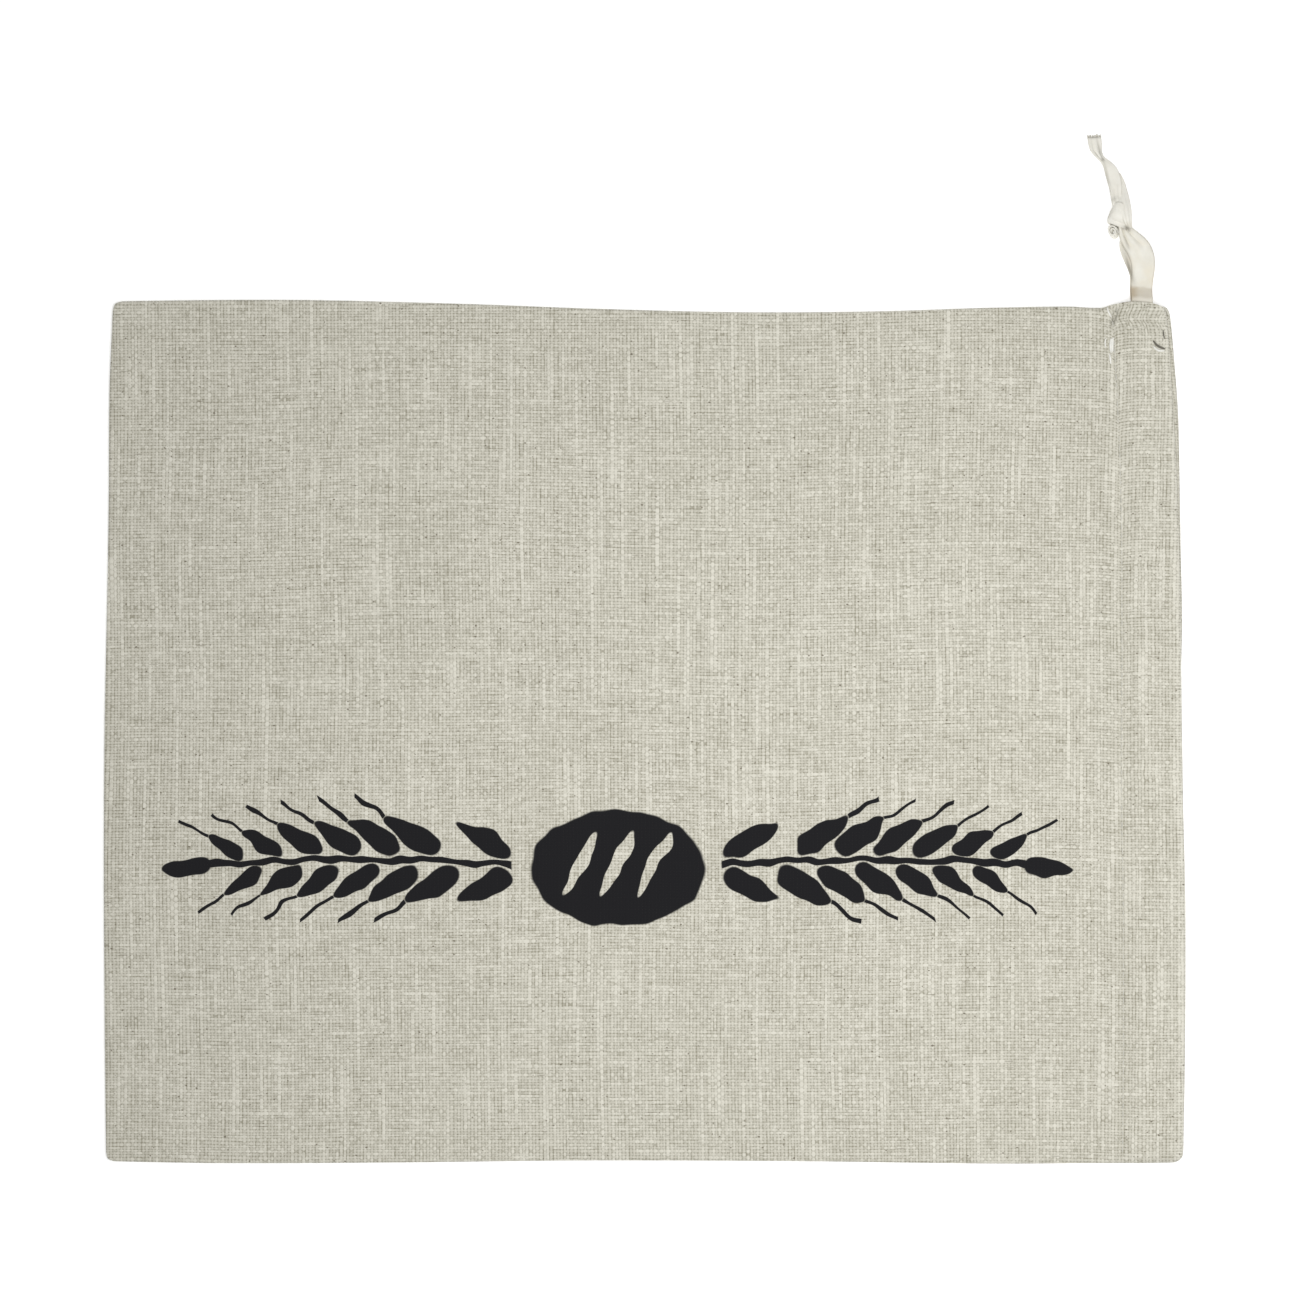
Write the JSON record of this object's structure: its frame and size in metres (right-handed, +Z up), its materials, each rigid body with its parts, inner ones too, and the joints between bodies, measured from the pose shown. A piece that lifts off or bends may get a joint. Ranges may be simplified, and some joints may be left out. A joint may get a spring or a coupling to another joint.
{
  "type": "linen bread bag",
  "caption": "Flat drawstring bag of plain-weave linen with a stitched casing at its mouth and a knotted flat cotton tape, lying empty.",
  "frame": {"origin": "middle of the bag's footprint, on the surface it lies on, measured without the free ends of the drawstring", "axes": "+X towards the mouth and casing, +Y towards the side where the drawstring leaves, +Z up out of the front panel"},
  "size_m": [0.3821, 0.3639, 0.0078],
  "materials": {
    "linen": "plain-weave natural linen with slubs, matt",
    "cotton_tape": "unbleached cotton tape, matt"
  },
  "bodies": {
    "root": {"front_panel": "linen", "back_panel": "linen", "drawstring_run": "cotton_tape", "drawstring_lead_front": "cotton_tape", "drawstring_lead_back": "cotton_tape", "drawstring_knot": "cotton_tape", "drawstring_tail_long": "cotton_tape", "drawstring_tail_short": "cotton_tape"}
  },
  "joints": []
}
